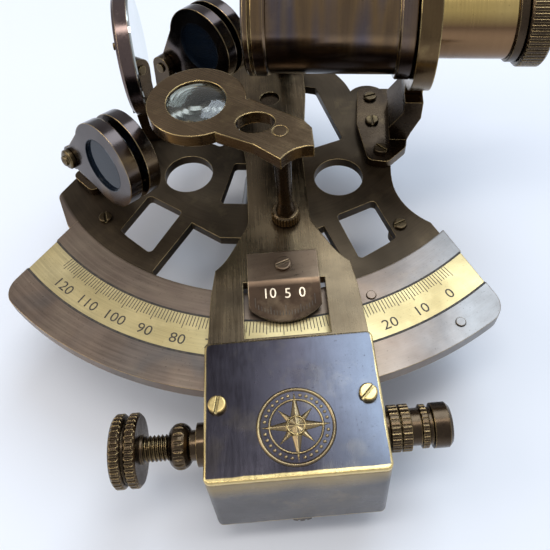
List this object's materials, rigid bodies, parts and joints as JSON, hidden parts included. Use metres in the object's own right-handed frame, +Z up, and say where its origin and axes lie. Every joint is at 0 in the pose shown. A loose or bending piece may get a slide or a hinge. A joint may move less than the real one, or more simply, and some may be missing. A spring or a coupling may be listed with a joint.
{
  "type": "marine sextant",
  "caption": "Brass marine sextant lying face up on its feet, with a vernier scale, swinging index arm, tangent screw box, reading glass, telescope, mirrors and tinted shades.",
  "frame": {"origin": "centre of the underside of the foot below the index arm's pivot, on the surface that the sextant lies on", "axes": "+Z up through the pivot, -Y along the index arm as it stands, +X toward the telescope's eyepiece"},
  "size_m": [0.1498, 0.1552, 0.0915],
  "materials": {
    "casting_bronze": "dark bronze patina on the web, brushed pinkish brown on the limb",
    "scale_brass": "pale satin brass with engraved divisions",
    "plain_brass": "aged brass",
    "dark_bronze": "dark bronze patina with worn edges",
    "steel_screw": "darkened brass screws",
    "tube_bronze": "mottled heat-tinted brown",
    "draw_brass": "polished brass",
    "grip_dark": "dark polished wood",
    "gunmetal": "purple grey gunmetal patina",
    "copper_plate": "copper pink satin",
    "lens_glass": "clear glass",
    "mirror_glass": "silvered glass",
    "shade_glass": "dark tinted glass",
    "spring_steel": "spring steel"
  },
  "bodies": {
    "frame": {"frame_casting": "casting_bronze", "scale_strip": "scale_brass", "limb_pins": "plain_brass", "centre_bush": "plain_brass", "top_foot": "dark_bronze", "limb_feet": "dark_bronze", "web_screws": "steel_screw", "handle_grip": "grip_dark", "handle_posts": "plain_brass", "telescope_stand": "dark_bronze", "stand_screws": "steel_screw", "telescope_ring": "dark_bronze", "telescope_tube": "tube_bronze", "objective_bezel": "draw_brass", "objective_lens": "lens_glass", "horizon_bracket": "dark_bronze", "horizon_ring": "dark_bronze", "horizon_glass": "mirror_glass", "horizon_pins": "steel_screw", "bracket_screws": "steel_screw", "horizon_shade_bracket": "dark_bronze", "index_shade_bracket": "dark_bronze", "horizon_shade_bolt": "steel_screw", "index_shade_bolt": "steel_screw", "shade_spacers": "plain_brass"},
    "arm": {"index_arm": "dark_bronze", "pivot_shaft": "plain_brass", "pivot_washer": "plain_brass", "pivot_nut": "plain_brass", "vernier_plate": "copper_plate", "vernier_screw": "steel_screw", "index_mirror_bracket": "dark_bronze", "index_mirror_glass": "mirror_glass", "index_mirror_clip": "spring_steel", "index_mirror_screws": "steel_screw", "glass_post": "plain_brass", "glass_post_nut": "plain_brass", "box_housing": "gunmetal", "box_cover": "gunmetal", "cover_screws": "steel_screw", "tangent_bush": "plain_brass", "spring_barrel": "plain_brass", "tangent_spring": "spring_steel", "glass_pivot_cap": "plain_brass"},
    "tangent_wheel": {"tangent_screw": "plain_brass"},
    "clamp_carriage": {"clamp_block": "plain_brass"},
    "clamp_pad": {"clamp_shoe": "plain_brass"},
    "clamp_knob": {"clamp_screw": "plain_brass"},
    "reading_glass": {"glass_frame": "dark_bronze", "glass_lens": "lens_glass"},
    "draw": {"draw_tube": "draw_brass", "eyepiece_flange": "draw_brass", "eyecup": "dark_bronze", "eye_lens": "lens_glass"},
    "horizon_shade_1": {"horizon_shade_front": "dark_bronze"},
    "horizon_shade_2": {"horizon_shade_rear": "dark_bronze"},
    "index_shade_1": {"index_shade_front": "dark_bronze"},
    "index_shade_2": {"index_shade_rear": "dark_bronze"}
  },
  "joints": [
    {"name": "index_arm_swing", "type": "hinge", "parent": "frame", "child": "arm", "pos_m": [0, 0, 0.031], "axis": [0, 0, 1], "range_deg": [-2, 28.8]},
    {"name": "tangent_screw_turn", "type": "hinge", "parent": "arm", "child": "tangent_wheel", "pos_m": [-0.03, -0.108, 0.027], "axis": [1, 0, 0], "range_deg": [-1080, 1080]},
    {"name": "clamp_block_slide", "type": "slide", "parent": "arm", "child": "clamp_carriage", "axis": [1, 0, 0], "range_m": [-0.0024, 0.0024]},
    {"name": "clamp_screw_turn", "type": "hinge", "parent": "clamp_carriage", "child": "clamp_knob", "pos_m": [0, -0.1125, 0.0125], "axis": [0, 0, 1], "range_deg": [0, 270]},
    {"name": "clamp_shoe_lift", "type": "slide", "parent": "clamp_carriage", "child": "clamp_pad", "axis": [0, 0, 1], "range_m": [0, 0.0006]},
    {"name": "reading_glass_swing", "type": "hinge", "parent": "arm", "child": "reading_glass", "pos_m": [0.002, -0.0495, 0.0667], "axis": [0, 0, 1], "range_deg": [0, 120]},
    {"name": "telescope_focus", "type": "slide", "parent": "frame", "child": "draw", "axis": [0.9914, -0.1305, 0], "range_m": [-0.015, 0.005]},
    {"name": "horizon_shade_1_turn", "type": "hinge", "parent": "frame", "child": "horizon_shade_1", "pos_m": [-0.05634, -0.02781, 0.0436], "axis": [0.7272, 0.6663, -0.165], "range_deg": [-90, 0]},
    {"name": "horizon_shade_2_turn", "type": "hinge", "parent": "frame", "child": "horizon_shade_2", "pos_m": [-0.05634, -0.02781, 0.0436], "axis": [0.7272, 0.6663, -0.165], "range_deg": [-90, 0]},
    {"name": "index_shade_1_turn", "type": "hinge", "parent": "frame", "child": "index_shade_1", "pos_m": [-0.03138, 0.01415, 0.04167], "axis": [0.659, 0.7449, -0.1045], "range_deg": [-80, 0]},
    {"name": "index_shade_2_turn", "type": "hinge", "parent": "frame", "child": "index_shade_2", "pos_m": [-0.03138, 0.01415, 0.04167], "axis": [0.659, 0.7449, -0.1045], "range_deg": [-80, 0]}
  ],
  "couplings": [
    {"joint": "tangent_screw_turn", "follows": "clamp_block_slide", "rad_per_m": 7854},
    {"joint": "clamp_screw_turn", "follows": "clamp_shoe_lift", "rad_per_m": 7854}
  ]
}
